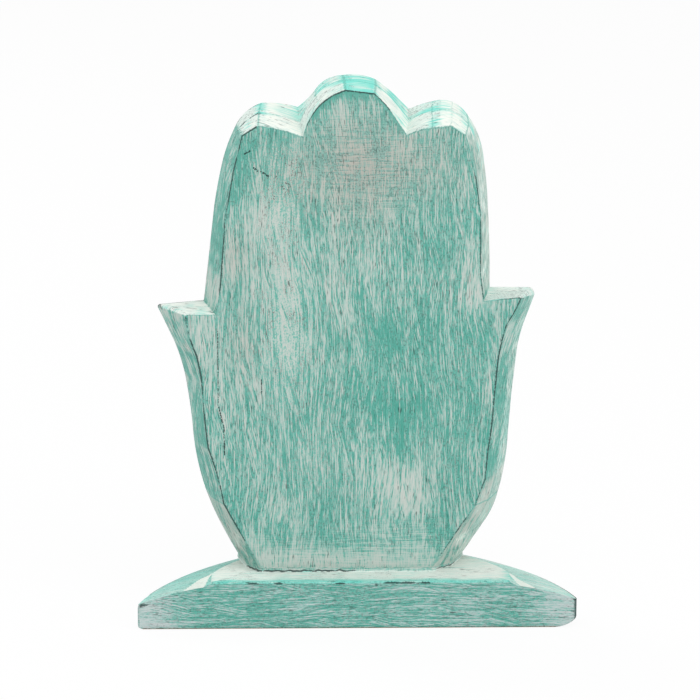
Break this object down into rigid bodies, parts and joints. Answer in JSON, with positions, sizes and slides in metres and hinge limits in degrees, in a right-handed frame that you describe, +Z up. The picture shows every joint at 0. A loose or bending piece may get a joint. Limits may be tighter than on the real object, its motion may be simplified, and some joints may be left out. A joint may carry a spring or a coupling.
{
  "type": "buddha hand ornament",
  "caption": "Free-standing carved wooden hand with two outward thumbs and three rounded finger lobes, fixed on a plinth with a sloping rim; turquoise and grey dry-brushed paint.",
  "frame": {"origin": "on the ground under the middle of the ornament's overall box", "axes": "+Z up, +Y from the plain side through the board to the far side, +X to the right as seen from the plain side"},
  "size_m": [0.24, 0.092, 0.2991],
  "materials": {
    "hand_paint": "carved wood, turquoise and grey paint dry-brushed along the grain over a dark wax, matt",
    "plinth_paint": "carved wood, the same paint brushed along the plinth, rubbed back at the edges, matt",
    "filler": "wood filler, painted over, matt and cracked",
    "screw_steel": "zinc-plated steel, dull yellowish"
  },
  "bodies": {
    "root": {"base": "plinth_paint", "joint_filler": "filler", "hand": "hand_paint", "base_screw_left": "screw_steel", "base_screw_right": "screw_steel"}
  },
  "joints": []
}
